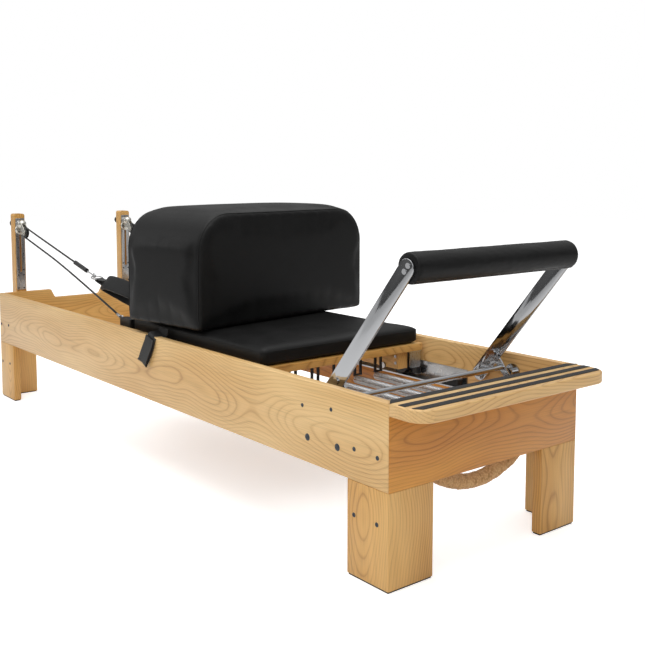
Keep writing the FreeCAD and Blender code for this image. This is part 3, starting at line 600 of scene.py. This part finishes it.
def makeSprings():
    bm = bmesh.new()
    ring = bmesh.ops.create_circle(bm, segments=6, radius=coil["wire"] * mm)["verts"]
    bmesh.ops.rotate(bm, verts=ring, cent=(0, 0, 0), matrix=Matrix.Rotation(math.pi / 2, 3, "X"))
    bmesh.ops.translate(bm, verts=ring, vec=(0, 0, coil["radius"] * mm))
    count = coil["turns"] * coil["steps"]
    rise = (coil["from"] - coil["to"] - 3) * mm / count
    bmesh.ops.spin(bm, geom=ring + list(bm.edges), cent=(0, 0, 0), axis=(1, 0, 0), dvec=(rise, 0, 0),
                   angle=2 * math.pi * coil["turns"], steps=count, use_duplicate=False)
    bmesh.ops.holes_fill(bm, edges=[e for e in bm.edges if e.is_boundary], sides=8)
    bmesh.ops.recalc_face_normals(bm, faces=bm.faces)
    one = list(bm.verts) + list(bm.edges) + list(bm.faces)
    bmesh.ops.translate(bm, verts=bm.verts, vec=place(coil["to"] + 1.5, -2 * coil["apart"], coil["height"]))
    for number in range(1, 5):
        made = bmesh.ops.duplicate(bm, geom=one)["geom"]
        moved = [v for v in made if isinstance(v, bmesh.types.BMVert)]
        bmesh.ops.translate(bm, verts=moved, vec=(0, number * coil["apart"] * mm, 0))
    obj = objectFrom("coil_springs", bm)
    obj.data.materials.append(springSteel)
    for face in obj.data.polygons:
        face.use_smooth = True
    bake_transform(obj)
    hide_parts("springs")


makeSprings()
print("springs done")


rope = {"radius": 3.5, "sheaveX": -2303.0, "sheaveZ": 680.0, "wrap": 21.4, "side": 241.0, "eyeX": -1387.0,
        "eyeSide": 277.0, "eyeZ": 445.0, "endX": -1836.0, "endSide": 234.0, "endZ": 591.0}
upper = {"length": 0.455, "diameter": 0.007}
lower = {"length": 1.033, "diameter": 0.007}


def makeRopes(side, way):
    at = lambda angle, reach: (rope["sheaveX"] + reach * math.cos(math.radians(angle)), rope["side"],
                               rope["sheaveZ"] + reach * math.sin(math.radians(angle)))
    high, low = at(76.63, rope["wrap"]), at(-103.09, rope["wrap"])

    def on(start, angle, reach):  # a point on a run that leaves the sheave at that angle
        return (start[0] + reach * math.cos(math.radians(angle)), start[1],
                start[2] + reach * math.sin(math.radians(angle)))

    outside = rope["wrap"] / math.cos(math.radians(22.535))
    corners = [at(angle, outside) for angle in (234.38, 189.31, 144.24, 99.17)]
    end = (rope["endX"], rope["endSide"], rope["endZ"])
    eye = (rope["eyeX"], rope["eyeSide"], rope["eyeZ"])
    run = [eye, on(low, -13.09, 420), on(low, -13.09, 90), on(low, -13.09, 8.88)] + corners
    run += [on(high, -13.37, 8.88), on(high, -13.37, 20)]
    top = [on(high, -13.37, 20), on(high, -13.37, 90), end]
    for name, spots, size, exitAt in (("lower", run, lower, 0), ("upper", top, upper, -1)):
        spots = [place(x, way * y, z) for x, y, z in spots]
        piece = roundCord("%s_rope_%s_run" % (side, name), spots, rope["radius"] * mm)
        piece.data.materials.append(braid)
        for face in piece.data.polygons:
            face.use_smooth = True
        path = lineOf(spots)
        print(piece.name, "runs", round(sum((b - a).length for a, b in zip(path, path[1:])), 4))
        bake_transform(piece)
        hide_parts(side + "_rope")
        if exitAt == -1:
            path = path[::-1]
    bm = bmesh.new()
    crimp = bmesh.ops.create_cone(bm, cap_ends=True, segments=24, radius1=0.0052, radius2=0.0046, depth=0.026)
    run = Vector((low[0] - eye[0], way * (low[1] - eye[1]), low[2] - eye[2])).normalized()
    bmesh.ops.rotate(bm, verts=crimp["verts"], cent=(0, 0, 0), matrix=run.to_track_quat("Z", "Y").to_matrix())
    bmesh.ops.translate(bm, verts=crimp["verts"], vec=place(eye[0], way * eye[1], eye[2]) + run * 0.014)
    bmesh.ops.bevel(bm, geom=bm.edges, offset=0.0006, segments=2, profile=0.5, affect="EDGES", material=-1)
    finish(objectFrom(side + "_rope_crimp", bm), "carriage", "zinc_steel", zinc)


makeRopes("near", -1)
makeRopes("far", 1)
print("ropes done")


loop = {"ringX": -1659.8, "ringSide": 231.3, "ringZ": 549.1, "slope": -13.37, "width": 56.0, "thick": 13.0,
        "lay": -50.0}


def makeHandLoop(side, way):
    y = way * loop["ringSide"]
    startX, startZ = loop["ringX"] + 72, loop["ringZ"] - 14
    route = [(startX, startZ + 4), (startX + 70, startZ + 22), (-1386, 549), (-1322, 536), (-1321, 497),
             (-1376, 475), (-1456, 459), (startX + 60, startZ - 40), (startX - 3, startZ - 5)]
    spots = [place(x, y, z) for x, z in route]
    piece = sweep(side + "_hand_strap", spots, loop["width"] * mm, loop["thick"] * mm, closed=True, detail=10)
    hinge = place(startX, y, startZ)
    lay = Matrix.Rotation(way * math.radians(loop["lay"]), 4, place(-1322, y, 514) - hinge)
    piece.data.transform(Matrix.Translation(hinge) @ lay @ Matrix.Translation(-hinge))
    finish(piece, "carriage", "black_vinyl", vinyl, side + "_hand_loop")
    slope = math.radians(loop["slope"])
    along = Vector((math.cos(slope), 0, math.sin(slope)))
    up = Vector((-math.sin(slope), 0, math.cos(slope)))
    ring = place(loop["ringX"], y, loop["ringZ"])
    tail = place(startX + 14, y, startZ + 2)
    band = [tail + up * 0.009, ring + along * 0.040 + up * 0.0052, ring + along * 0.024 + up * 0.0048,
            ring + along * 0.0150 + up * 0.0042, ring + along * 0.0142 - up * 0.0042,
            ring + along * 0.024 - up * 0.0048, ring + along * 0.040 - up * 0.0052, tail - up * 0.011]
    strap = sweep(side + "_loop_webbing", band, 0.030, 0.0022, detail=8)
    finish(strap, "carriage", "webbing", webbing, "loop_webbings")


makeHandLoop("near", -1)
makeHandLoop("far", 1)


def ribbon(name, route, across, width, thick):  # a flat band whose width keeps to one direction
    line = lineOf(route)
    bm = bmesh.new()
    rows = []
    for i, spot in enumerate(line):
        along = (line[min(i + 1, len(line) - 1)] - line[max(i - 1, 0)]).normalized()
        wide = (across - along * across.dot(along)).normalized()
        up = along.cross(wide)
        rows.append([bm.verts.new(spot + wide * width * a + up * thick * b)
                     for a, b in ((-0.5, -0.5), (0.5, -0.5), (0.5, 0.5), (-0.5, 0.5))])
    for first, second in zip(rows, rows[1:]):
        for k in range(4):
            bm.faces.new((first[k], first[(k + 1) % 4], second[(k + 1) % 4], second[k]))
    bm.faces.new(rows[0])
    bm.faces.new(rows[-1])
    bmesh.ops.recalc_face_normals(bm, faces=bm.faces)
    return objectFrom(name, bm)


def makeBoxStrap():
    route = [(-1052, -297, 452), (-1053, -300, 438), (-1055, -314, 433.5), (-1057, -330, 433.5),
             (-1059, -338.6, 430), (-1064, -339.5, 410), (-1080, -340, 384), (-1098, -340.5, 358),
             (-1106, -342, 346), (-1106, -347, 343), (-1100, -348, 354), (-1082, -347, 384),
             (-1065, -345.5, 410), (-1060, -344, 427)]
    across = Vector((0.92, 0, -0.38))
    strap = ribbon("box_webbing", [place(x, y, z) for x, y, z in route], across, 0.046, 0.0026)
    finish(strap, "box", "webbing", webbing, "box_strap")
    strap.data.set_sharp_from_angle(angle=math.radians(40))


makeBoxStrap()


fleece = {"x": -48.0, "low": 178.0, "bend": 267.7, "spread": 41.1, "radius": 17.4, "pile": 3.6, "curl": 5.5}


def makeFleece():
    centreZ = fleece["low"] + fleece["bend"]
    spots = []
    for i in range(9):
        angle = math.radians(-fleece["spread"] + 2 * fleece["spread"] * i / 8)
        spots.append(place(fleece["x"], fleece["bend"] * math.sin(angle),
                           centreZ - fleece["bend"] * math.cos(angle)))
    curve = curveLine(spots)
    curve.splines[0].resolution_u = 34
    curve.bevel_depth = fleece["radius"] * mm
    curve.bevel_resolution = 26
    curve.use_fill_caps = True
    bm = bmesh.new()
    bm.from_mesh(meshOf(curve, "fleece"))
    bmesh.ops.remove_doubles(bm, verts=bm.verts, dist=0.00001)
    caps = [f for f in bm.faces if len(f.verts) > 4]
    bmesh.ops.triangulate(bm, faces=caps, quad_method="BEAUTY", ngon_method="BEAUTY")
    bmesh.ops.recalc_face_normals(bm, faces=bm.faces)
    bm.normal_update()
    moves = []
    for v in bm.verts:
        far, _ = noise.voronoi(v.co / (fleece["curl"] * mm))
        tuft = max(0.0, 1 - far[0] * 1.15)
        clump = noise.noise(v.co / 0.018)
        fuzz = noise.noise(v.co / 0.0016)
        moves.append(v.normal * mm * (fleece["pile"] * (0.62 * tuft + 0.3 * clump) + 0.5 * fuzz))
    for v, move in zip(bm.verts, moves):
        v.co += move
    piece = finish(objectFrom("sheepskin_strap", bm), "frame", "sheepskin", wool, "fleece_strap")
    for side, way in (("near", -1), ("far", 1)):
        y = way * 186
        route = [(-46, y - way * 6, 246), (-47, y - way * 1, 262), (-48, y, 284), (-48.5, y, 306),
                 (-46, y, 318)]
        tail = sweep(side + "_fleece_tail", [place(*p) for p in route], 0.026, 0.0024, detail=8,
                     tilt=math.pi / 2)
        finish(tail, "frame", "webbing", webbing, "fleece_tails")
        bm = bmesh.new()
        bolt = bmesh.ops.create_cone(bm, cap_ends=True, segments=20, radius1=0.003, radius2=0.003,
                                     depth=0.0268)
        bmesh.ops.rotate(bm, verts=bolt["verts"], cent=(0, 0, 0), matrix=Matrix.Rotation(math.pi / 2, 3, "Y"))
        bmesh.ops.translate(bm, verts=bolt["verts"], vec=place(-36.2, y, 312))
        finish(objectFrom(side + "_fleece_bolt", bm), "frame", "zinc_steel", zinc)


makeFleece()
print("straps done")


def makeScrews():
    bm = bmesh.new()

    def head(centre, outward, radius, high):
        profile = [(0, high - 1.1), (0.36, high - 1.1), (0.40, high), (0.72, high * 0.92), (0.93, high * 0.6),
                   (1, 0)]
        verts = [bm.verts.new((share * radius * mm, 0, up * mm)) for share, up in profile]
        edges = [bm.edges.new(pair) for pair in zip(verts, verts[1:])]
        before = set(bm.verts) - set(verts)
        bmesh.ops.spin(bm, geom=verts + edges, cent=(0, 0, 0), axis=(0, 0, 1), angle=2 * math.pi, steps=20,
                       use_merge=True, use_duplicate=False)
        made = [v for v in bm.verts if v not in before]
        bmesh.ops.rotate(bm, verts=made, cent=(0, 0, 0), matrix=outward.to_track_quat("Z", "Y").to_matrix())
        bmesh.ops.translate(bm, verts=made, vec=centre)

    spots = [(-309, 366, 5), (-199, 377, 5), (-289, 291, 9), (-176, 292, 9), (-116, 302, 5.5), (-37, 300, 5.5),
             (-116, 148, 5.5), (-38, 148, 5.5), (-2353, 304, 5.5), (-2274, 307, 5.5), (-2351, 148, 5.5),
             (-2271, 149, 5.5)]
    for way in (-1, 1):
        out = Vector((0, way, 0))
        for x, z, radius in spots:
            head(place(x, way * 335, z), out, radius, 1.5)
            if radius > 8:
                head(place(x, way * 336.2, z), out, 5.4, 2.8)
        for dy in (-11.5, 11.5):
            for z in (445, 499, 521):
                head(place(-2367, way * 241 + dy, z), Vector((1, 0, 0)), 3.5, 1.5)
    bmesh.ops.remove_doubles(bm, verts=bm.verts, dist=0.00002)
    bmesh.ops.recalc_face_normals(bm, faces=bm.faces)
    finish(objectFrom("screw_heads", bm), "frame", "zinc_steel", darkZinc, "frame_screws")


makeScrews()


def makeSwivelCaps():
    outline = [(0, 9), (8, 9), (9, 6.8), (16, 6.2), (20, 4.2), (21.5, 0)]
    for side, way in (("near", -1), ("far", 1)):
        bm = bmesh.new()
        verts = [bm.verts.new((r * mm, 0, h * mm)) for r, h in outline]
        rim = [bm.edges.new(pair) for pair in zip(verts, verts[1:])]
        bmesh.ops.spin(bm, geom=verts + rim, cent=(0, 0, 0), axis=(0, 0, 1), angle=2 * math.pi, steps=32,
                       use_merge=True, use_duplicate=False)
        bmesh.ops.remove_doubles(bm, verts=bm.verts, dist=0.00002)
        bmesh.ops.rotate(bm, verts=bm.verts, cent=(0, 0, 0), matrix=Matrix.Rotation(math.pi / 2, 3, "Y"))
        bmesh.ops.translate(bm, verts=bm.verts, vec=place(-2366, way * 241, 690))
        bmesh.ops.recalc_face_normals(bm, faces=bm.faces)
        cap = finish(objectFrom(side + "_swivel_cap", bm), "frame", "zinc_steel", castZinc)
        cap.data.set_sharp_from_angle(angle=math.radians(35))


makeSwivelCaps()
print("screws done")


def stagePlane():
    bm = bmesh.new()
    bmesh.ops.create_grid(bm, x_segments=1, y_segments=1, size=14)
    floor = objectFrom("floor", bm)
    material, tree, shader = newMaterial("studio_floor", {"Base Color": colour("#f6f6f6"), "Roughness": 0.85,
                                                          "Specular IOR Level": 0.1,
                                                          "Emission Color": colour("#ffffff")})
    seen = addNode(tree, "ShaderNodeLightPath").outputs["Is Camera Ray"]
    lift = addNode(tree, "ShaderNodeMath", {0: seen, 1: 0.5}, operation="MULTIPLY")
    tree.links.new(lift.outputs[0], shader.inputs["Emission Strength"])
    floor.data.materials.append(material)


stagePlane()


def areaLight(name, where, target, size, power):
    light = bpy.data.lights.new(name, "AREA")
    light.energy = power
    light.shape = "RECTANGLE"
    light.size, light.size_y = size
    obj = bpy.data.objects.new(name, light)
    obj.location = where
    obj.rotation_euler = (Vector(target) - Vector(where)).to_track_quat("-Z", "Y").to_euler()
    bpy.context.scene.collection.objects.link(obj)


areaLight("overhead", (0.4, -0.6, 4.2), (0.2, 0, 0.3), (4.5, 3.5), 96)
areaLight("front_key", (3.2, -3.6, 2.6), (0.2, 0, 0.4), (2.4, 2.0), 26)
areaLight("head_fill", (-3.6, -3.2, 2.2), (-0.4, 0, 0.4), (2.4, 2.0), 18)


def makeStudio():  # white behind the object, darker studio walls for what the object reflects
    world = bpy.data.worlds.new("studio")
    world.use_nodes = True
    tree = world.node_tree
    walls = tree.nodes["Background"]
    around = addNode(tree, "ShaderNodeTexCoord").outputs["Generated"]
    where = addNode(tree, "ShaderNodeSeparateXYZ", {"Vector": around})
    shade = ramp(tree, addNode(tree, "ShaderNodeMath", {0: where.outputs["Z"], 1: 0.5, 2: 0.5},
                               operation="MULTIPLY_ADD").outputs[0],
                 [(0.0, 0.45), (0.48, 0.10), (0.60, 0.22), (0.80, 0.75), (1.0, 0.95)])
    tree.links.new(shade, walls.inputs["Color"])
    white = addNode(tree, "ShaderNodeBackground", {"Color": (1, 1, 1, 1), "Strength": 1.0})
    seen = addNode(tree, "ShaderNodeLightPath").outputs["Is Camera Ray"]
    mix = addNode(tree, "ShaderNodeMixShader", {0: seen, 1: walls.outputs[0], 2: white.outputs[0]})
    tree.links.new(mix.outputs[0], tree.nodes["World Output"].inputs["Surface"])
    bpy.context.scene.world = world


makeStudio()
bpy.context.scene.view_settings.view_transform = "Standard"

view = {"at": (2.6239, -1.7166, 0.9311), "yaw": 141.21, "pitch": 5.11, "lens": 51.88, "shift": -0.105}
camera = bpy.data.cameras.new("camera")
camera.lens = view["lens"]
camera.sensor_width = 36
camera.shift_y = view["shift"]
camera.clip_end = 60
eye = bpy.data.objects.new("camera", camera)
eye.location = view["at"]
yaw, pitch = math.radians(view["yaw"]), math.radians(view["pitch"])
look = Vector((math.cos(yaw) * math.cos(pitch), math.sin(yaw) * math.cos(pitch), -math.sin(pitch)))
eye.rotation_euler = look.to_track_quat("-Z", "Y").to_euler()
bpy.context.scene.collection.objects.link(eye)
bpy.context.scene.camera = eye
print("stage done")
